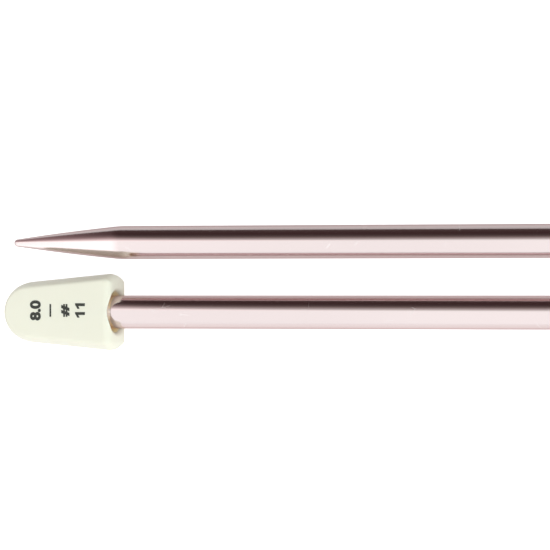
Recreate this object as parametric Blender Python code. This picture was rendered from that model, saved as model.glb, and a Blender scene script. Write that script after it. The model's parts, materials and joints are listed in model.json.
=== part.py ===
"""A pair of straight knitting needles, 8 mm thick and 10 inches long, laid side by side, head to point.

Each needle is two pieces: an anodised aluminium tube that is swaged down to a solid point, and a moulded
plastic head that the tube's open end is pressed into. The head is a flattened block with a round nose, so
that the needle doesn't roll. On the table each needle rests on its head's mouth edge and on the shaft's
shoulder, where the taper begins, and the point hangs just clear.

Metres, +Z up. The origin is on the table, under the centre of the pair. Both needles run along X.
A needle is modelled in its own frame: the origin is the centre of the head's mouth, +X runs along the
shaft to the point, and +Z comes out of the head's flat face. Its empty then lays it on the table.
"""

import math

import bmesh
import bpy
from mathutils import Vector

MM = 0.001

# The needle as a whole.
OVERALL_LENGTH = 254 * MM
SHAFT_RADIUS = 4 * MM

# The head: a block that narrows towards a round nose, in width and in thickness. Its sides are bowed, and
# lean in by SIDE_LEAN where they meet the rounded edges.
HEAD_LENGTH = 29.3 * MM
MOUTH_HALF_WIDTH = 9.4 * MM
SIDE_ANGLE = math.radians(5.35)
MOUTH_HALF_THICKNESS = 5.55 * MM
NOSE_HALF_THICKNESS = 5 * MM
SIDE_LEAN = math.radians(27)
EDGE_RADIUS = 0.9 * MM
MOUTH_EDGE_RADIUS = 2 * MM

# The hollow in the head: an open recess with a chamfered rim, then a socket with crush ribs that grip the tube.
RECESS_RADIUS = 5 * MM
RECESS_DEPTH = 4 * MM
RIM_CHAMFER = 1.1 * MM
SOCKET_RADIUS = 4.6 * MM
SOCKET_DEPTH = 18 * MM
RIB_COUNT = 6
FIT_GAP = 0.3 * MM

# The tube, and the point it is swaged to.
TUBE_WALL = 1 * MM
TAIL_CHAMFER = 0.25 * MM
TIP_RADIUS = 0.9 * MM
TAPER_START_ANGLE = math.radians(7.6)
TAPER_END_ANGLE = math.radians(5.4)
SHOULDER_LENGTH = 2.5 * MM

# How the pair lies: the shafts' distance apart, and how far each needle is moved towards its own head.
SPACING = 16.8 * MM
HEAD_SHIFT = 0.5 * MM

# Facets.
SHAFT_STEPS = 32
TIP_STEPS = 4
TAPER_STEPS = 8
SHOULDER_STEPS = 3
SIDE_STEPS = 2
EDGE_STEPS = 4
MOUTH_STEPS = 4
NOSE_STEPS = 10
STEPS_PER_RIB = 8

# Worked out from the sizes above.
POINT_X = OVERALL_LENGTH - HEAD_LENGTH
TAIL_X = FIT_GAP - SOCKET_DEPTH
BORE_RADIUS = SHAFT_RADIUS - TUBE_WALL
METAL_AREA = SHAFT_RADIUS**2 - BORE_RADIUS**2  # of the tube's wall, without the factor pi
FACE_SLOPE = (MOUTH_HALF_THICKNESS - NOSE_HALF_THICKNESS) / HEAD_LENGTH
NOSE_RADIUS = (
    (MOUTH_HALF_WIDTH - HEAD_LENGTH * math.tan(SIDE_ANGLE))
    * math.cos(SIDE_ANGLE)
    / (1 - math.sin(SIDE_ANGLE))
)
NOSE_CENTRE_X = NOSE_RADIUS - HEAD_LENGTH
TIP_TURN = math.pi / 2 - TAPER_START_ANGLE
SHOULDER_RISE = SHOULDER_LENGTH * math.sin(TAPER_END_ANGLE / 2)
TAPER_ANGLE = (TAPER_START_ANGLE + TAPER_END_ANGLE) / 2
TAPER_LENGTH = (SHAFT_RADIUS - TIP_RADIUS * math.sin(TIP_TURN) - SHOULDER_RISE) / math.sin(TAPER_ANGLE)
SHOULDER_X = POINT_X - TIP_RADIUS - TAPER_LENGTH - SHOULDER_LENGTH  # where the full width ends


def clear_scene():
    for obj in list(bpy.data.objects):
        bpy.data.objects.remove(obj, do_unlink=True)


def finish_material(name, color, roughness, metallic):
    material = bpy.data.materials.new(name)
    material.use_nodes = True
    shader = material.node_tree.nodes["Principled BSDF"]
    shader.inputs["Base Color"].default_value = (*color, 1)
    shader.inputs["Roughness"].default_value = roughness
    shader.inputs["Metallic"].default_value = metallic
    return material


def object_of(name, bm, material=None):
    bmesh.ops.remove_doubles(bm, verts=bm.verts, dist=1e-7)
    bmesh.ops.recalc_face_normals(bm, faces=bm.faces)
    mesh = bpy.data.meshes.new(name)
    bm.to_mesh(mesh)
    bm.free()
    mesh.shade_smooth()
    mesh.set_sharp_from_angle(angle=math.radians(30))
    if material:
        mesh.materials.append(material)
    obj = bpy.data.objects.new(name, mesh)
    bpy.context.scene.collection.objects.link(obj)
    return obj


# --- The shaft -------------------------------------------------------------------------------------


def bend(points, start, end, length, steps):
    """Carries on from the last point, along a curve whose slope turns evenly from start to end."""
    x, radius = points[-1]
    for i in range(steps):
        slope = start + (end - start) * (i + 0.5) / steps
        x -= math.cos(slope) * length / steps
        radius += math.sin(slope) * length / steps
        points.append((x, radius))


def outer_profile():
    """(x, radius) from the point back to the tail: a rounded tip, a long taper and a soft shoulder."""
    points = []
    for i in range(TIP_STEPS + 1):
        angle = TIP_TURN * i / TIP_STEPS
        points.append((POINT_X - TIP_RADIUS * (1 - math.cos(angle)), TIP_RADIUS * math.sin(angle)))
    bend(points, TAPER_START_ANGLE, TAPER_END_ANGLE, TAPER_LENGTH, TAPER_STEPS)
    bend(points, TAPER_END_ANGLE, 0, SHOULDER_LENGTH, SHOULDER_STEPS)
    points[-1] = (points[-1][0], SHAFT_RADIUS)
    points.append((TAIL_X + TAIL_CHAMFER, SHAFT_RADIUS))
    points.append((TAIL_X, SHAFT_RADIUS - TAIL_CHAMFER))
    return points


def bore_profile(outer):
    """(x, radius) of the bore, from the tail to where swaging has closed it.

    Swaging keeps the tube's metal, so the wall thickens as the outside shrinks, until the bore is gone."""
    swaged = [(x, radius) for x, radius in reversed(outer) if x > 0]
    bore = [(TAIL_X, BORE_RADIUS)]
    for x, radius in swaged:
        if radius**2 <= METAL_AREA:
            return [*bore, (x, 0)]
        bore.append((x, math.sqrt(radius**2 - METAL_AREA)))


def make_shaft(name, material):
    outer = outer_profile()
    bm = bmesh.new()
    verts = [bm.verts.new((x, 0, radius)) for x, radius in outer + bore_profile(outer)]
    edges = [bm.edges.new(pair) for pair in zip(verts, verts[1:])]
    bmesh.ops.spin(
        bm,
        geom=verts + edges,
        cent=(0, 0, 0),
        axis=(1, 0, 0),
        angle=2 * math.pi,
        steps=SHAFT_STEPS,
        use_merge=True,
    )
    return object_of(name, bm, material)


# --- The head --------------------------------------------------------------------------------------


def half_thickness(x):
    return MOUTH_HALF_THICKNESS + FACE_SLOPE * x


def arc(centre, radius, start, end, steps):
    """(y, z) points round the centre, from the start angle to the end angle."""
    angles = [start + (end - start) * i / steps for i in range(steps + 1)]
    return [(centre[0] + radius * math.cos(a), centre[1] + radius * math.sin(a)) for a in angles]


def quarter(half_width, half_height):
    """A quarter of the section, as (y, z) from the middle of its side to the middle of its face."""
    rise = half_height - EDGE_RADIUS
    reach = rise / math.sin(SIDE_LEAN)
    side_centre = half_width - reach - EDGE_RADIUS
    edge_centre = side_centre + reach * math.cos(SIDE_LEAN)
    side = arc((side_centre, 0), reach + EDGE_RADIUS, 0, SIDE_LEAN, SIDE_STEPS)
    edge = arc((edge_centre, rise), EDGE_RADIUS, SIDE_LEAN, math.pi / 2, EDGE_STEPS)
    return [*side[:-1], *edge, (0, half_height)]


def all_round(points):
    """A quarter's (x, y, z) points mirrored into the whole outline, in order."""
    upper = points + [(x, -y, z) for x, y, z in reversed(points[:-1])]
    lower = [(x, y, -z) for x, y, z in reversed(upper[1:-1])]
    return [Vector(point) for point in upper + lower]


def mouth_outline(angle):
    """The outline where the mouth's edge has turned by this angle, from 0 on the mouth to 90 degrees."""
    x = MOUTH_EDGE_RADIUS * (math.cos(angle) - 1)
    inset = MOUTH_EDGE_RADIUS * (1 - math.sin(angle))
    half_width = MOUTH_HALF_WIDTH + x * math.tan(SIDE_ANGLE) - inset
    section = quarter(half_width, half_thickness(x) - inset)
    return all_round([(x, y, z) for y, z in section])


def nose_outline(angle):
    """The outline swung about the nose's centre by this angle, from the sides to 90 degrees at the nose."""
    section = quarter(NOSE_RADIUS, half_thickness(NOSE_CENTRE_X))
    points = []
    for y, z in section[:-1]:
        x = NOSE_CENTRE_X - y * math.sin(angle)
        shrink = half_thickness(x) / half_thickness(NOSE_CENTRE_X)
        points.append((x, y * math.cos(angle), z * shrink))
    last_x, _, last_z = points[-1]
    return all_round([*points, (last_x, 0, last_z)])


def skin(bm, outlines):
    """Joins outlines with the same number of points into one closed surface."""
    rings = [[bm.verts.new(point) for point in outline] for outline in outlines]
    for near, far in zip(rings, rings[1:]):
        for i in range(len(near)):
            bm.faces.new((near[i - 1], near[i], far[i], far[i - 1]))
    bm.faces.new(rings[0])
    bm.faces.new(rings[-1])


def make_block(name, material):
    mouth = [mouth_outline(math.pi / 2 * i / MOUTH_STEPS) for i in range(MOUTH_STEPS + 1)]
    nose_turn = math.pi / 2 - SIDE_ANGLE
    nose = [nose_outline(SIDE_ANGLE + nose_turn * i / NOSE_STEPS) for i in range(NOSE_STEPS + 1)]
    bm = bmesh.new()
    skin(bm, mouth + nose)
    return object_of(name, bm, material)


def hollow_outline(x, radius, rib_radius):
    """A circle at x whose radius dips to rib_radius at each rib."""
    steps = RIB_COUNT * STEPS_PER_RIB
    points = []
    for i in range(steps):
        reach = radius if i % STEPS_PER_RIB else rib_radius
        angle = 2 * math.pi * i / steps
        points.append((x, reach * math.cos(angle), reach * math.sin(angle)))
    return points


def make_hollow(name):
    """The cutter for the recess and the socket. The socket opens to the recess through a short cone."""
    rib_radius = SHAFT_RADIUS + FIT_GAP
    cone = RECESS_RADIUS - SOCKET_RADIUS
    flare = RECESS_RADIUS + 2 * RIM_CHAMFER
    bm = bmesh.new()
    skin(bm, [
        hollow_outline(RIM_CHAMFER, flare, flare),
        hollow_outline(-RIM_CHAMFER, RECESS_RADIUS, RECESS_RADIUS),
        hollow_outline(-RECESS_DEPTH, RECESS_RADIUS, RECESS_RADIUS),
        hollow_outline(-RECESS_DEPTH - cone, SOCKET_RADIUS, rib_radius),
        hollow_outline(-SOCKET_DEPTH, SOCKET_RADIUS, rib_radius),
    ])
    cutter = object_of(name, bm)
    cutter.hide_render = True
    cutter.display_type = "WIRE"
    return cutter


def make_head(name, material):
    head = make_block(name, material)
    hollow = make_hollow(name + "_hollow")
    hollow.parent = head
    cut = head.modifiers.new("hollow", "BOOLEAN")
    cut.operation = "DIFFERENCE"
    cut.solver = "EXACT"
    cut.object = hollow
    return head


# --- The pair --------------------------------------------------------------------------------------


def resting_tilt():
    """The angle at which the round of the mouth's lower edge and the shaft's shoulder are level."""
    run = SHOULDER_X + MOUTH_EDGE_RADIUS
    drop = half_thickness(-MOUTH_EDGE_RADIUS) - MOUTH_EDGE_RADIUS - SHAFT_RADIUS
    return math.atan2(drop, run) + math.asin(MOUTH_EDGE_RADIUS / math.hypot(run, drop))


def lay_needle(name, turn, pieces):
    """Parents the pieces to an empty at the mouth's centre, turned about Z, that lays them on the table."""
    tilt = resting_tilt()
    mouth_x = HEAD_LENGTH - OVERALL_LENGTH / 2 - HEAD_SHIFT
    mouth_z = SHOULDER_X * math.sin(tilt) + SHAFT_RADIUS * math.cos(tilt)
    empty = bpy.data.objects.new(name, None)
    bpy.context.scene.collection.objects.link(empty)
    empty.location = (
        mouth_x * math.cos(turn) + SPACING / 2 * math.sin(turn),
        mouth_x * math.sin(turn) - SPACING / 2 * math.cos(turn),
        mouth_z,
    )
    empty.rotation_euler = (0, tilt, turn)
    for piece in pieces:
        piece.parent = empty


def main():
    clear_scene()
    pink_metal = finish_material("anodised_pink", (0.72, 0.5, 0.5), 0.22, 1)
    ivory = finish_material("ivory_plastic", (0.82, 0.8, 0.68), 0.35, 0)
    for number, turn in ((1, 0), (2, math.pi)):
        name = f"needle_{number}"
        shaft = make_shaft(name + "_shaft", pink_metal)
        head = make_head(name + "_head", ivory)
        lay_needle(name, turn, [shaft, head])


main()
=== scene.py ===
"""The looks of a pair of straight knitting needles: anodised aluminium shafts and moulded plastic heads.

Metres, +Z up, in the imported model's frame. Each needle is made in its own frame: the origin is the centre
of the head's mouth, +X runs along the shaft to the point, and +Z comes out of the head's printed face.
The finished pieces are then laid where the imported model's pieces lie, and ride on their bodies.
"""

import json
import math

import bmesh
import bpy
from mathutils import Matrix, Vector

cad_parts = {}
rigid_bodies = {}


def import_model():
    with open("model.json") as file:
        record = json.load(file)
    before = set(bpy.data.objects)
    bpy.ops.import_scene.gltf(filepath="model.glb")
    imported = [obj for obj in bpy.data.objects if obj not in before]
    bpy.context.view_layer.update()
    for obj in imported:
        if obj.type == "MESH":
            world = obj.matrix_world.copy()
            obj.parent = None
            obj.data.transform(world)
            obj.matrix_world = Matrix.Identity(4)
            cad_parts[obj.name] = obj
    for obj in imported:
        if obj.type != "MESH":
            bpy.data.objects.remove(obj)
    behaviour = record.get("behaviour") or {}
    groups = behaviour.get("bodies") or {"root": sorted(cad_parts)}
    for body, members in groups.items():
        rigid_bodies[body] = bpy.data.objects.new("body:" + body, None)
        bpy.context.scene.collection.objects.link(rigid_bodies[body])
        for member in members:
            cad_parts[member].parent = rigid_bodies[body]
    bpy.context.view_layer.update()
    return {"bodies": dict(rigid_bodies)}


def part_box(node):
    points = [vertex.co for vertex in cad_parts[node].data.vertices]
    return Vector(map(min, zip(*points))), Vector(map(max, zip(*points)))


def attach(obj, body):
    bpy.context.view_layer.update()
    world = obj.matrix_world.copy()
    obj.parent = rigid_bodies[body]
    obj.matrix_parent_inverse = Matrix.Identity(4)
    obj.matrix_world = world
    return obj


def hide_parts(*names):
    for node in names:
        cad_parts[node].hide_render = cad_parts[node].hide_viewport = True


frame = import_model()

MM = 0.001

# The needle, as in the CAD model.
OVERALL_LENGTH = 254 * MM
SHAFT_RADIUS = 4 * MM
HEAD_LENGTH = 29.3 * MM
MOUTH_HALF_WIDTH = 9.4 * MM
SIDE_ANGLE = math.radians(5.35)
MOUTH_HALF_THICKNESS = 5.55 * MM
NOSE_HALF_THICKNESS = 5 * MM
SIDE_LEAN = math.radians(27)
EDGE_RADIUS = 0.9 * MM
MOUTH_EDGE_RADIUS = 2 * MM
RECESS_RADIUS = 5 * MM
RECESS_DEPTH = 4 * MM
SOCKET_RADIUS = 4.6 * MM
SOCKET_DEPTH = 18 * MM
RIB_COUNT = 6
FIT_GAP = 0.3 * MM
TUBE_WALL = 1 * MM
TAIL_CHAMFER = 0.25 * MM
TIP_RADIUS = 0.9 * MM
TAPER_START_ANGLE = math.radians(7.6)
TAPER_END_ANGLE = math.radians(5.4)
SHOULDER_LENGTH = 2.5 * MM

# How far each needle lies from the middle of the pair, towards its own head.
HEAD_SHIFT = 0.5 * MM

# What the fine surface adds: crowned faces, a softened rim to the recess and the mould's parting line.
FACE_CROWN = 0.04
RIM_RADIUS = 1.2 * MM
PARTING_LINE = 0.05 * MM
INK_THICKNESS = 0.02 * MM

# How far a point may lie off a surface and still count as on it.
SLACK = 0.05 * MM

# How finely the surfaces are divided.
SHAFT_STEPS = 128
SHAFT_RINGS = 24
TIP_STEPS = 14
TAPER_STEPS = 48
SHOULDER_STEPS = 14
SIDE_STEPS = 10
EDGE_STEPS = 12
FACE_STEPS = 12
MOUTH_STEPS = 26
BODY_STEPS = 10
NOSE_STEPS = 36

# The camera.
CAMERA_TARGET = Vector((-59.5 * MM, 0.5 * MM, 0))
CAMERA_DISTANCE = 1.2549
CAMERA_YAW = math.radians(21.92)
CAMERA_ROLL = math.radians(0.078)
CAMERA_LENS = 342.1

# Worked out from the sizes above.
POINT_X = OVERALL_LENGTH - HEAD_LENGTH
TAIL_X = FIT_GAP - SOCKET_DEPTH
BORE_RADIUS = SHAFT_RADIUS - TUBE_WALL
METAL_AREA = SHAFT_RADIUS**2 - BORE_RADIUS**2  # of the tube's wall, without the factor pi
FACE_SLOPE = (MOUTH_HALF_THICKNESS - NOSE_HALF_THICKNESS) / HEAD_LENGTH
NOSE_RADIUS = (
    (MOUTH_HALF_WIDTH - HEAD_LENGTH * math.tan(SIDE_ANGLE))
    * math.cos(SIDE_ANGLE)
    / (1 - math.sin(SIDE_ANGLE))
)
NOSE_CENTRE_X = NOSE_RADIUS - HEAD_LENGTH
TIP_TURN = math.pi / 2 - TAPER_START_ANGLE
SHOULDER_RISE = SHOULDER_LENGTH * math.sin(TAPER_END_ANGLE / 2)
TAPER_ANGLE = (TAPER_START_ANGLE + TAPER_END_ANGLE) / 2
TAPER_LENGTH = (SHAFT_RADIUS - TIP_RADIUS * math.sin(TIP_TURN) - SHOULDER_RISE) / math.sin(TAPER_ANGLE)
SHOULDER_X = POINT_X - TIP_RADIUS - TAPER_LENGTH - SHOULDER_LENGTH  # where the full width ends


def object_of(name, bm, material, sharp_angle=35):
    """A smooth-shaded object of the bmesh, in the needle's own frame."""
    bmesh.ops.remove_doubles(bm, verts=bm.verts, dist=1e-7)
    bmesh.ops.recalc_face_normals(bm, faces=bm.faces)
    mesh = bpy.data.meshes.new(name)
    bm.to_mesh(mesh)
    bm.free()
    mesh.shade_smooth()
    mesh.set_sharp_from_angle(angle=math.radians(sharp_angle))
    mesh.materials.append(material)
    obj = bpy.data.objects.new(name, mesh)
    bpy.context.scene.collection.objects.link(obj)
    return obj


def skin(bm, outlines):
    """Joins outlines with the same number of points into one closed surface."""
    rings = [[bm.verts.new(point) for point in outline] for outline in outlines]
    for near, far in zip(rings, rings[1:]):
        for i in range(len(near)):
            bm.faces.new((near[i - 1], near[i], far[i], far[i - 1]))
    bm.faces.new(rings[0])
    bm.faces.new(rings[-1])


# --- The shaft -------------------------------------------------------------------------------------


def bend(points, start, end, length, steps):
    """Carries on from the last point, along a curve whose slope turns evenly from start to end."""
    x, radius = points[-1]
    for i in range(steps):
        slope = start + (end - start) * (i + 0.5) / steps
        x -= math.cos(slope) * length / steps
        radius += math.sin(slope) * length / steps
        points.append((x, radius))


def outer_profile():
    """(x, radius) from the point back to the tail: a rounded tip, a long taper and a soft shoulder."""
    points = []
    for i in range(TIP_STEPS + 1):
        angle = TIP_TURN * i / TIP_STEPS
        points.append((POINT_X - TIP_RADIUS * (1 - math.cos(angle)), TIP_RADIUS * math.sin(angle)))
    bend(points, TAPER_START_ANGLE, TAPER_END_ANGLE, TAPER_LENGTH, TAPER_STEPS)
    bend(points, TAPER_END_ANGLE, 0, SHOULDER_LENGTH, SHOULDER_STEPS)
    start, end = points[-1][0], TAIL_X + TAIL_CHAMFER
    for i in range(1, SHAFT_RINGS + 1):
        points.append((start + (end - start) * i / SHAFT_RINGS, SHAFT_RADIUS))
    points.append((TAIL_X, SHAFT_RADIUS - TAIL_CHAMFER))
    return points


def bore_profile(outer):
    """(x, radius) of the bore, from the tail to where swaging has closed it."""
    bore = [(TAIL_X, BORE_RADIUS)]
    for x, radius in reversed(outer):
        if radius**2 <= METAL_AREA and x > 0:
            return [*bore, (x, 0)]
        if x > 0:
            bore.append((x, math.sqrt(radius**2 - METAL_AREA)))


def make_shaft(name, material):
    outer = outer_profile()
    bm = bmesh.new()
    verts = [bm.verts.new((x, 0, radius)) for x, radius in outer + bore_profile(outer)]
    edges = [bm.edges.new(pair) for pair in zip(verts, verts[1:])]
    bmesh.ops.spin(
        bm,
        geom=verts + edges,
        cent=(0, 0, 0),
        axis=(1, 0, 0),
        angle=2 * math.pi,
        steps=SHAFT_STEPS,
        use_merge=True,
    )
    return object_of(name, bm, material)


# --- The head --------------------------------------------------------------------------------------


def half_thickness(x):
    return MOUTH_HALF_THICKNESS + FACE_SLOPE * x


def arc(centre, radius, start, end, steps):
    """(y, z) points round the centre, from the start angle to the end angle."""
    angles = [start + (end - start) * i / steps for i in range(steps + 1)]
    return [(centre[0] + radius * math.cos(a), centre[1] + radius * math.sin(a)) for a in angles]


def quarter(wide, thick):
    """A quarter of the section, as (y, z) from the middle of its side to the middle of its face.

    The side curves inward evenly until it leans, a small arc rounds its edge, and the face is crowned."""
    rise = thick - EDGE_RADIUS
    reach = rise / math.sin(SIDE_LEAN)
    side_centre = wide - reach - EDGE_RADIUS
    edge_centre = side_centre + reach * math.cos(SIDE_LEAN)
    side = arc((side_centre, 0), reach + EDGE_RADIUS, 0, SIDE_LEAN, SIDE_STEPS)
    edge = arc((edge_centre, rise), EDGE_RADIUS, SIDE_LEAN, math.pi / 2, EDGE_STEPS)
    face = [(edge_centre * (1 - i / FACE_STEPS), thick) for i in range(1, FACE_STEPS + 1)]
    flash = [(wide + PARTING_LINE, 0), (wide, 2 * PARTING_LINE)]
    points = flash + side[1:-1] + edge + face
    return [(y, z * (1 - FACE_CROWN * (y / wide) ** 2)) for y, z in points]


def all_round(points):
    """A quarter's (x, y, z) points mirrored into the whole outline, in order."""
    upper = points + [(x, -y, z) for x, y, z in reversed(points[:-1])]
    lower = [(x, y, -z) for x, y, z in reversed(upper[1:-1])]
    return [Vector(point) for point in upper + lower]


def half_width(x):
    return MOUTH_HALF_WIDTH + x * math.tan(SIDE_ANGLE)


def side_outline():
    """The outline where the mouth's rounded edge has turned into the sides."""
    x = -MOUTH_EDGE_RADIUS
    return all_round([(x, y, z) for y, z in quarter(half_width(x), half_thickness(x))])


def depth_inside(y, z):
    """How far a point lies inside the side outline."""
    wide, thick = half_width(-MOUTH_EDGE_RADIUS), half_thickness(-MOUTH_EDGE_RADIUS)
    bow = (thick - EDGE_RADIUS) / math.sin(SIDE_LEAN) + EDGE_RADIUS
    lean = bow - math.sqrt(bow**2 - z**2)
    crown = 1 - FACE_CROWN * (y / wide) ** 2
    beyond_y = abs(y) + lean - wide + EDGE_RADIUS
    beyond_z = abs(z) / crown - thick + EDGE_RADIUS
    corner = math.hypot(max(0, beyond_y), max(0, beyond_z))
    return EDGE_RADIUS - corner - min(0, max(beyond_y, beyond_z))


def rounded_off(distance, radius):
    """How deep a rounded edge cuts at this distance from it."""
    left = max(0, radius - max(0, distance))
    return radius - math.sqrt(radius**2 - left**2)


def mouth_outlines():
    """From the recess out to the sides. Both edges are rounded, and a thin wall leaves a crest."""
    outlines = []
    for step in range(MOUTH_STEPS + 1):
        share = (1 - math.cos(math.pi * step / MOUTH_STEPS)) / 2
        outline = []
        for _, y, z in side_outline():
            reach = math.hypot(y, z)
            radius = RECESS_RADIUS + (reach - RECESS_RADIUS) * share
            y, z = y * radius / reach, z * radius / reach
            inside = depth_inside(y, z) if step < MOUTH_STEPS else 0
            rim = rounded_off(radius - RECESS_RADIUS, RIM_RADIUS)
            edge = rounded_off(inside, MOUTH_EDGE_RADIUS)
            outline.append(Vector((-max(rim, edge), y, z)))
        outlines.append(outline)
    return outlines


def nose_outline(angle):
    """The outline swung about the nose's centre by this angle, from the sides to 90 degrees at the nose."""
    section = quarter(NOSE_RADIUS, half_thickness(NOSE_CENTRE_X))
    points = []
    for y, z in section[:-1]:
        x = NOSE_CENTRE_X - y * math.sin(angle)
        shrink = half_thickness(x) / half_thickness(NOSE_CENTRE_X)
        points.append((x, y * math.cos(angle), z * shrink))
    last_x, _, last_z = points[-1]
    return all_round([*points, (last_x, 0, last_z)])


def round_outline(x, radius, rib=0.0):
    """A circle at x, with its points in the same directions as the sides', dipping by rib at each rib."""
    points = []
    for point in side_outline():
        angle = math.atan2(point.z, point.y)
        reach = radius - rib * max(0, math.cos(RIB_COUNT * angle)) ** 12
        points.append(Vector((x, reach * math.cos(angle), reach * math.sin(angle))))
    return points


def hollow_outlines():
    """The socket from its floor out, its ribs, and the recess."""
    rib = SOCKET_RADIUS - SHAFT_RADIUS - FIT_GAP
    cone = RECESS_RADIUS - SOCKET_RADIUS
    return [
        round_outline(-SOCKET_DEPTH, SOCKET_RADIUS, rib),
        round_outline(-RECESS_DEPTH - 2 * cone, SOCKET_RADIUS, rib),
        round_outline(-RECESS_DEPTH - cone, SOCKET_RADIUS),
        round_outline(-RECESS_DEPTH, RECESS_RADIUS),
    ]


def between(first, last, steps):
    """The outlines that lie evenly between two, leaving both out."""
    return [
        [near.lerp(far, i / steps) for near, far in zip(first, last)]
        for i in range(1, steps)
    ]


def in_hollow(point):
    """True on the walls and the floor of the recess and the socket."""
    return point.x > -SOCKET_DEPTH - SLACK and math.hypot(point.y, point.z) < RECESS_RADIUS + SLACK


def make_head(name, outside, inside):
    """The head, with a second material in its hollow: the same plastic, with painted amber light."""
    mouth = mouth_outlines()
    nose_turn = math.pi / 2 - SIDE_ANGLE
    nose = [nose_outline(SIDE_ANGLE + nose_turn * i / NOSE_STEPS) for i in range(NOSE_STEPS + 1)]
    bm = bmesh.new()
    skin(bm, hollow_outlines() + mouth + between(mouth[-1], nose[0], BODY_STEPS) + nose)
    # The hollow's faces take the plastic with painted amber light.
    for face in bm.faces:
        face.material_index = int(all(in_hollow(vert.co) for vert in face.verts))
    head = object_of(name, bm, outside)
    head.data.materials.append(inside)
    return head


# --- The printed size ------------------------------------------------------------------------------

# Each row: its characters, the x of its middle, its height along X and its length along Y.
MARK_ROWS = (
    ("8.0", -19.6 * MM, 2.9 * MM, 4.9 * MM),
    ("-", -15.6 * MM, 0.45 * MM, 3.1 * MM),
    ("#", -11.6 * MM, 2.2 * MM, 3.1 * MM),
    ("11", -7.7 * MM, 2.6 * MM, 3.5 * MM),
)
MARK_Y = 0.4 * MM

# The outline of the digit 1 with its flag, and how far apart two of them stand.
DIGIT_ONE = ((0.26, 0), (0.54, 0), (0.54, 1), (0.34, 1), (0.28, 0.92), (0, 0.78), (0, 0.54), (0.26, 0.66))
DIGIT_SPACING = 0.85


def font_mesh(characters):
    curve = bpy.data.curves.new("mark_row", "FONT")
    curve.body = characters
    curve.size = 1
    curve.offset = 0.05
    curve.extrude = 0.5
    obj = bpy.data.objects.new("mark_row", curve)
    mesh = bpy.data.meshes.new_from_object(obj)
    bpy.data.objects.remove(obj)
    bpy.data.curves.remove(curve)
    return mesh


def ones_mesh(count):
    """A row of ones. The font's own have no flag and would read as bars."""
    bm = bmesh.new()
    for i in range(count):
        layers = [[bm.verts.new((x + i * DIGIT_SPACING, y, z)) for x, y in DIGIT_ONE] for z in (0.5, -0.5)]
        for layer in layers:
            bm.faces.new(layer)
        for j in range(len(DIGIT_ONE)):
            bm.faces.new((layers[0][j - 1], layers[0][j], layers[1][j], layers[1][j - 1]))
    mesh = bpy.data.meshes.new("mark_row")
    bm.to_mesh(mesh)
    bm.free()
    return mesh


def face_height(x, y):
    """The height of the head's crowned printed face above its middle plane."""
    return half_thickness(x) * (1 - FACE_CROWN * (y / half_width(x)) ** 2)


def make_size_mark(name, material):
    """The size as digits, a dash and a number sign, each row set across the needle, on a thin film of ink."""
    bm = bmesh.new()
    for characters, middle_x, height, length in MARK_ROWS:
        ones = characters.count("1") == len(characters)
        mesh = ones_mesh(len(characters)) if ones else font_mesh(characters)
        low = Vector(map(min, zip(*(vertex.co for vertex in mesh.vertices))))
        high = Vector(map(max, zip(*(vertex.co for vertex in mesh.vertices))))
        for vertex in mesh.vertices:
            across = (vertex.co.x - low.x) / (high.x - low.x) - 0.5
            up = (vertex.co.y - low.y) / (high.y - low.y) - 0.5
            x, y = middle_x - up * height, MARK_Y + across * length
            film = INK_THICKNESS if vertex.co.z > 0 else -INK_THICKNESS
            vertex.co = (x, y, face_height(x, y) + film)
        bm.from_mesh(mesh)
        bpy.data.meshes.remove(mesh)
    return object_of(name, bm, material)


# --- Materials -------------------------------------------------------------------------------------


def add(tree, kind, inputs=None, **settings):
    """A new node. An input's value is a constant, or another node's output to link."""
    node = tree.nodes.new("ShaderNode" + kind)
    for key, value in settings.items():
        setattr(node, key, value)
    for key, value in (inputs or {}).items():
        if isinstance(value, bpy.types.NodeSocket):
            tree.links.new(value, node.inputs[key])
        else:
            node.inputs[key].default_value = value
    return node


def math_of(tree, operation, *values):
    return add(tree, "Math", dict(enumerate(values)), operation=operation).outputs[0]


def blank_material(name):
    material = bpy.data.materials.new(name)
    material.use_nodes = True
    return material, material.node_tree, material.node_tree.nodes["Principled BSDF"]


def noise(tree, coordinates, scale, stretch=(1, 1, 1), detail=3, roughness=0.5):
    """Noise from 0 to 1. Scale is its features in a metre, which stretch lengthens along each axis."""
    mapping = add(tree, "Mapping", {"Vector": coordinates, "Scale": [scale / s for s in stretch]})
    texture = add(tree, "TexNoise", {
        "Vector": mapping.outputs[0],
        "Scale": 1,
        "Detail": detail,
        "Roughness": roughness,
    })
    return texture.outputs["Fac"]


def ranged(tree, value, low, high, to_low, to_high, kind="SMOOTHSTEP"):
    inputs = {"Value": value, "From Min": low, "From Max": high, "To Min": to_low, "To Max": to_high}
    return add(tree, "MapRange", inputs, interpolation_type=kind).outputs[0]


def mixed(tree, factor, first, second):
    node = add(tree, "Mix", {"Factor": factor}, data_type="RGBA")
    colours = [socket for socket in node.inputs if socket.type == "RGBA"]
    for socket, value in zip(colours, (first, second)):
        if isinstance(value, bpy.types.NodeSocket):
            tree.links.new(value, socket)
        else:
            socket.default_value = (*value, 1)
    return next(socket for socket in node.outputs if socket.type == "RGBA")


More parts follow.
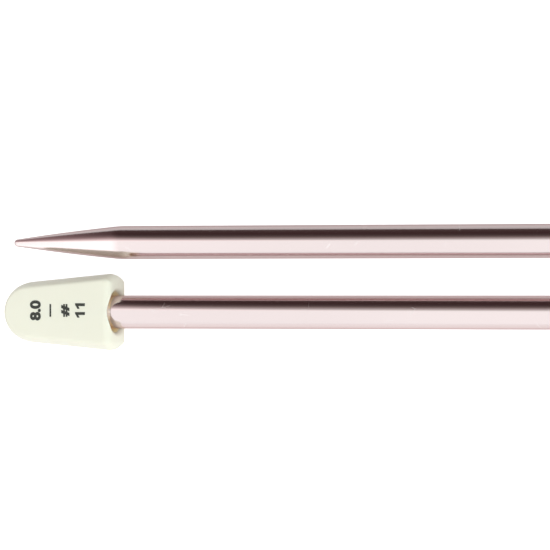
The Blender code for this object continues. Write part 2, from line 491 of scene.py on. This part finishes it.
def anodised_pink():
    """Drawn, polished aluminium under a thin rose anodised layer, with fine draw lines and light scuffs."""
    material, tree, shader = blank_material("anodised_pink")
    place = add(tree, "TexCoord").outputs["Object"]
    draw_lines = noise(tree, place, 5000, stretch=(120, 1, 1), detail=4, roughness=0.6)
    bands = noise(tree, place, 900, stretch=(90, 1, 1), detail=2)
    cloud = noise(tree, place, 60, stretch=(3, 1, 1))
    cells = add(tree, "TexVoronoi", {
        "Vector": add(tree, "Mapping", {"Vector": place, "Scale": (140, 260, 260)}).outputs[0],
        "Scale": 1,
    }, feature="DISTANCE_TO_EDGE").outputs["Distance"]
    sparse = ranged(tree, noise(tree, place, 170, detail=1), 0.63, 0.7, 0, 1)
    scuffs = math_of(tree, "MULTIPLY", ranged(tree, cells, 0.0, 0.025, 0.6, 0), sparse)

    colour = mixed(tree, cloud, (0.765, 0.64, 0.635), (0.795, 0.675, 0.67))
    tree.links.new(mixed(tree, scuffs, colour, (0.84, 0.76, 0.75)), shader.inputs["Base Color"])
    roughness = math_of(tree, "MULTIPLY_ADD", draw_lines, 0.08, 0.1)
    tree.links.new(math_of(tree, "MULTIPLY_ADD", scuffs, 0.3, roughness), shader.inputs["Roughness"])
    shader.inputs["Metallic"].default_value = 1
    shader.inputs["Specular Tint"].default_value = (0.66, 0.53, 0.53, 1)

    height = math_of(tree, "MULTIPLY_ADD", bands, 0.5, draw_lines)
    height = math_of(tree, "MULTIPLY_ADD", scuffs, -1.5, height)
    bump = add(tree, "Bump", {"Strength": 0.3, "Distance": 0.004 * MM, "Height": height})
    tree.links.new(bump.outputs[0], shader.inputs["Normal"])
    return material


def ivory_plastic():
    """A glossy ivory moulding with faint clouding and a fine grain, which lets a little light through."""
    material, tree, shader = blank_material("ivory_plastic")
    place = add(tree, "TexCoord").outputs["Object"]
    cloud = noise(tree, place, 110)
    grain = noise(tree, place, 2600, detail=4, roughness=0.6)
    ripple = noise(tree, place, 260, stretch=(2, 1, 1), detail=1)

    ivory = mixed(tree, cloud, (0.755, 0.71, 0.6), (0.785, 0.74, 0.63))
    tree.links.new(ivory, shader.inputs["Base Color"])
    tree.links.new(math_of(tree, "MULTIPLY_ADD", grain, 0.12, 0.27), shader.inputs["Roughness"])
    shader.inputs["IOR"].default_value = 1.5
    shader.inputs["Subsurface Weight"].default_value = 0.35
    shader.inputs["Subsurface Radius"].default_value = (1, 0.95, 0.9)
    shader.inputs["Subsurface Scale"].default_value = 1.2 * MM

    height = math_of(tree, "MULTIPLY_ADD", ripple, 4, grain)
    bump = add(tree, "Bump", {"Strength": 0.35, "Distance": 0.006 * MM, "Height": height})
    tree.links.new(bump.outputs[0], shader.inputs["Normal"])
    return material


def socket_painted_light():
    """The same plastic inside the socket, with painted warm light. Its amber colour stands in for the light
    that comes through the walls into the shaded socket.
    """
    material, tree, shader = blank_material("socket_painted_light")
    place = add(tree, "TexCoord").outputs["Object"]
    cloud = noise(tree, place, 400)
    grain = noise(tree, place, 2600, detail=4, roughness=0.6)
    # Painted warm light: the amber base colour stands in for light through the thin walls, as the plastic
    # itself is ivory.
    amber_painted_light = mixed(tree, cloud, (0.96, 0.77, 0.6), (0.99, 0.83, 0.68))
    tree.links.new(amber_painted_light, shader.inputs["Base Color"])
    tree.links.new(math_of(tree, "MULTIPLY_ADD", grain, 0.15, 0.35), shader.inputs["Roughness"])
    shader.inputs["Subsurface Weight"].default_value = 1
    shader.inputs["Subsurface Radius"].default_value = (1, 0.85, 0.6)
    shader.inputs["Subsurface Scale"].default_value = 6 * MM
    return material


def mark_ink():
    """Pad-printed black ink, a little uneven in cover and gloss."""
    material, tree, shader = blank_material("mark_ink")
    place = add(tree, "TexCoord").outputs["Object"]
    cover = noise(tree, place, 1800, detail=3)
    tree.links.new(
        mixed(tree, cover, (0.012, 0.012, 0.008), (0.03, 0.029, 0.02)), shader.inputs["Base Color"]
    )
    tree.links.new(math_of(tree, "MULTIPLY_ADD", cover, 0.25, 0.35), shader.inputs["Roughness"])
    return material


# --- The studio ------------------------------------------------------------------------------------

# The tent's brightness round the needles' axis: degrees from straight up, - to the front, and the colour.
TENT_RAMP = (
    (-90, (1.05, 1.1, 1.1)),
    (-72, (1.11, 1.16, 1.16)),
    (-55, (1.11, 1.16, 1.16)),
    (50, (1.11, 1.16, 1.16)),
    (75, (0.15, 0.15, 0.13)),
)
# What multiplies it along them, by the X of the direction.
TENT_GAIN = (
    (-1, (0.7, 0.7, 0.7)),
    (-0.72, (0.95, 0.95, 0.95)),
    (-0.6, (1.4, 1.4, 1.4)),
    (-0.54, (1.35, 1.35, 1.35)),
    (-0.38, (1, 1, 1)),
    (-0.355, (1, 1, 1)),
    (-0.32, (1.1, 1.1, 1.1)),
    (-0.2, (1.05, 1.05, 1.05)),
    (0.1, (0.75, 0.75, 0.75)),
    (0.5, (0.9, 0.98, 0.98)),
    (0.85, (1.3, 1.45, 1.45)),
    (1, (2.5, 2.7, 2.6)),
)
# What one shaft shows of the tent in the other shaft.
TENT_AGAIN = (
    (-76, (1.1, 1.1, 1.1)),
    (-60, (0.32, 0.17, 0.18)),
    (-12, (0.32, 0.17, 0.18)),
    (12, (1.1, 1.1, 1.1)),
)

# The dark card behind the needles, which stands upright and runs back to the right. Its shading is by the
# height over the table as a share of the card's half-bright height, which grows to the right.
CARD_START_X = -0.166
CARD_END_X = 0.1
CARD_Y_AT_0 = 0.168
CARD_RUN_BACK = 0.9
HALF_BRIGHT_AT_0 = 0.5696
HALF_BRIGHT_GROWTH = 3.4035
CARD_TOP = 3
CARD_RAMP = (
    (0.0, (0.13, 0.10, 0.10)),
    (0.07, (0.07, 0.045, 0.045)),
    (0.2, (0.05, 0.026, 0.026)),
    (0.33, (0.07, 0.05, 0.048)),
    (0.5, (0.16, 0.125, 0.12)),
    (0.7, (0.34, 0.30, 0.29)),
    (1.0, (0.52, 0.50, 0.49)),
    (1.5, (0.74, 0.74, 0.73)),
    (2.0, (0.91, 0.92, 0.91)),
    (3.0, (1.11, 1.16, 1.16)),
)
# It glows a little at its near end, and one shaft shows it pale in the other.
CARD_GLOW_ENDS = (-0.155, -0.122)
CARD_GLOW = (0.36, 0.27, 0.28)
CARD_AGAIN = (0.95, 0.95, 0.95)

# What lies past the table's edge.
BACKDROP = (1, 1, 1)

# The table: half its side, how far it lies under the needles, its colour, and the glow that the camera sees.
# The light that it gives the needles falls off evenly between two places in Y.
TABLE_HALF_SIDE = 6
TABLE_DROP = 0.02 * MM
TABLE_COLOUR = (0.5, 0.48, 0.48)
TABLE_GLOW = 0.85
TABLE_LIGHT_COLOUR = (1, 0.98, 0.97)
TABLE_LIGHT_ENDS = (-12 * MM, 38 * MM)
TABLE_LIGHT = (0.5, 0.05)

# The soft box.
KEY_DIRECTION = Vector((0.45, -0.42, 0.79)).normalized()
KEY_DISTANCE = 2.2
KEY_DIAMETER = 1.2
KEY_WATTS = 7.4


def ramp_of(tree, value, stops, low, high):
    """A colour ramp whose stops are given at values from low to high."""
    share = ranged(tree, value, low, high, 0, 1, kind="LINEAR")
    ramp = add(tree, "ValToRGB", {"Fac": share})
    elements = ramp.color_ramp.elements
    while len(elements) < len(stops):
        elements.new(0.5)
    for element, (place, colour) in zip(elements, stops):
        element.position = (place - low) / (high - low)
        element.color = (*colour, 1)
    return ramp.outputs["Color"]


def twice_reflected(tree):
    return math_of(tree, "GREATER_THAN", add(tree, "LightPath").outputs["Glossy Depth"], 1.5)


def make_world():
    """A soft white tent. What the camera sees straight past the table's edge is plain white."""
    world = bpy.data.worlds.new("studio")
    world.use_nodes = True
    bpy.context.scene.world = world
    tree = world.node_tree
    tree.nodes.clear()
    direction = add(tree, "TexCoord").outputs["Generated"]
    parts = add(tree, "SeparateXYZ", {"Vector": direction}).outputs
    turn = math_of(tree, "DEGREES", math_of(tree, "ARCTAN2", parts["Y"], parts["Z"]))
    once = ramp_of(tree, turn, TENT_RAMP, -180, 180)
    again = ramp_of(tree, turn, TENT_AGAIN, -180, 180)
    colour = mixed(tree, twice_reflected(tree), once, again)
    gain = ramp_of(tree, parts["X"], TENT_GAIN, -1, 1)
    lit = add(tree, "VectorMath", {0: colour, 1: gain}, operation="MULTIPLY").outputs[0]
    tent = add(tree, "Background", {"Color": lit, "Strength": 1})
    backdrop = add(tree, "Background", {"Color": (*BACKDROP, 1), "Strength": 1})
    seen = add(tree, "LightPath").outputs["Is Camera Ray"]
    shown = add(tree, "MixShader", {0: seen, 1: tent.outputs[0], 2: backdrop.outputs[0]})
    add(tree, "OutputWorld", {"Surface": shown.outputs[0]})


def half_bright(x):
    return HALF_BRIGHT_AT_0 + HALF_BRIGHT_GROWTH * x


def make_dark_card():
    """The card that the shafts' dark stripe reflects. The camera doesn't see it."""
    material = bpy.data.materials.new("dark_card")
    material.use_nodes = True
    tree = material.node_tree
    tree.nodes.clear()
    parts = add(tree, "SeparateXYZ", {"Vector": add(tree, "TexCoord").outputs["Object"]}).outputs
    half = math_of(tree, "MULTIPLY_ADD", parts["X"], HALF_BRIGHT_GROWTH, HALF_BRIGHT_AT_0)
    colour = ramp_of(tree, math_of(tree, "DIVIDE", parts["Z"], half), CARD_RAMP, 0, CARD_TOP)
    near_end = ranged(tree, parts["X"], *CARD_GLOW_ENDS, 1, 0)
    extra = mixed(tree, near_end, (0, 0, 0), CARD_GLOW)
    once = add(tree, "VectorMath", {0: colour, 1: extra}, operation="ADD").outputs[0]
    colour = mixed(tree, twice_reflected(tree), once, CARD_AGAIN)
    glow = add(tree, "Emission", {"Color": colour, "Strength": 1})
    add(tree, "OutputMaterial", {"Surface": glow.outputs[0]})

    bm = bmesh.new()
    ends = [(x, CARD_Y_AT_0 + CARD_RUN_BACK * x) for x in (CARD_START_X, CARD_END_X)]
    foot = [bm.verts.new((x, y, 0)) for x, y in ends]
    top = [bm.verts.new((x, y, CARD_TOP * half_bright(x))) for x, y in ends]
    bm.faces.new((*foot, *reversed(top)))
    card = object_of("dark_card", bm, material)
    card.visible_camera = False
    card.visible_diffuse = False


def make_floor():
    """A white table that glows a little, so that shadows on it stay faint. Its light fades to the back."""
    material = bpy.data.materials.new("pale_floor")
    material.use_nodes = True
    tree = material.node_tree
    tree.nodes.clear()
    matt = add(tree, "BsdfDiffuse", {"Color": (*TABLE_COLOUR, 1)})
    glow = add(tree, "Emission", {"Color": (1, 1, 1, 1), "Strength": TABLE_GLOW})
    seen = add(tree, "LightPath").outputs["Is Camera Ray"]
    back = add(tree, "SeparateXYZ", {"Vector": add(tree, "TexCoord").outputs["Object"]}).outputs["Y"]
    fade = ranged(tree, back, *TABLE_LIGHT_ENDS, *TABLE_LIGHT, kind="LINEAR")
    own_light = add(tree, "Emission", {"Color": (*TABLE_LIGHT_COLOUR, 1), "Strength": fade})
    light = add(tree, "MixShader", {0: seen, 1: own_light.outputs[0], 2: glow.outputs[0]})
    both = add(tree, "AddShader", {0: matt.outputs[0], 1: light.outputs[0]})
    add(tree, "OutputMaterial", {"Surface": both.outputs[0]})

    bm = bmesh.new()
    bmesh.ops.create_grid(bm, x_segments=1, y_segments=1, size=TABLE_HALF_SIDE)
    bmesh.ops.translate(bm, verts=bm.verts, vec=(0, 0, -TABLE_DROP))
    floor = object_of("floor", bm, material)


def make_key_light():
    """A soft box over the front right, outside what a straight shaft reflects to the camera."""
    lamp = bpy.data.lights.new("key", "AREA")
    lamp.shape = "DISK"
    lamp.size = KEY_DIAMETER
    lamp.energy = KEY_WATTS
    key = bpy.data.objects.new("key", lamp)
    bpy.context.scene.collection.objects.link(key)
    key.location = KEY_DIRECTION * KEY_DISTANCE
    key.rotation_euler = KEY_DIRECTION.to_track_quat("Z", "Y").to_euler()
    key.visible_camera = False


def make_camera():
    data = bpy.data.cameras.new("camera")
    data.sensor_width = 36
    data.lens = CAMERA_LENS
    camera = bpy.data.objects.new("camera", data)
    bpy.context.scene.collection.objects.link(camera)
    turn = Matrix.Rotation(CAMERA_YAW, 4, "Y") @ Matrix.Rotation(-CAMERA_ROLL, 4, "Z")
    away = Matrix.Translation((0, 0, CAMERA_DISTANCE))
    camera.matrix_world = Matrix.Translation(CAMERA_TARGET) @ turn @ away
    bpy.context.scene.camera = camera


# --- The pair --------------------------------------------------------------------------------------


def resting_tilt():
    """The angle at which the round of the mouth's lower edge and the shaft's shoulder are level."""
    run = SHOULDER_X + MOUTH_EDGE_RADIUS
    drop = half_thickness(-MOUTH_EDGE_RADIUS) - MOUTH_EDGE_RADIUS - SHAFT_RADIUS
    return math.atan2(drop, run) + math.asin(MOUTH_EDGE_RADIUS / math.hypot(run, drop))


def resting_place(needle):
    """Where the needle's own frame lies, with its head on the side where the frame has it."""
    low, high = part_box(needle + "_head")
    middle = (low + high) / 2
    turn = 0 if middle.x < 0 else math.pi
    tilt = resting_tilt()
    mouth = Vector((
        math.cos(turn) * (HEAD_LENGTH - OVERALL_LENGTH / 2 - HEAD_SHIFT),
        middle.y,
        SHOULDER_X * math.sin(tilt) + SHAFT_RADIUS * math.cos(tilt),
    ))
    return Matrix.Translation(mouth) @ Matrix.Rotation(turn, 4, "Z") @ Matrix.Rotation(tilt, 4, "Y")


# amber_painted_light is the socket's plastic, whose amber colour is painted light.
def make_needle(needle, metal, plastic, amber_painted_light, ink):
    place = resting_place(needle)
    shaft = make_shaft(needle + "_shaft_fine", metal)
    head = make_head(needle + "_head_fine", plastic, amber_painted_light)
    mark = make_size_mark(needle + "_size_mark", ink)
    for piece, slot in ((shaft, "anodised_pink"), (head, "ivory_plastic"), (mark, "ivory_plastic")):
        piece.matrix_world = place
        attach(piece, needle)
    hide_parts(needle + "_shaft")
    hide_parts(needle + "_head")


def main():
    bpy.context.scene.view_settings.view_transform = "Standard"
    make_camera()
    make_world()
    make_floor()
    make_dark_card()
    make_key_light()
    materials = (anodised_pink(), ivory_plastic(), socket_painted_light(), mark_ink())
    for needle in sorted(frame["bodies"]):
        make_needle(needle, *materials)


main()
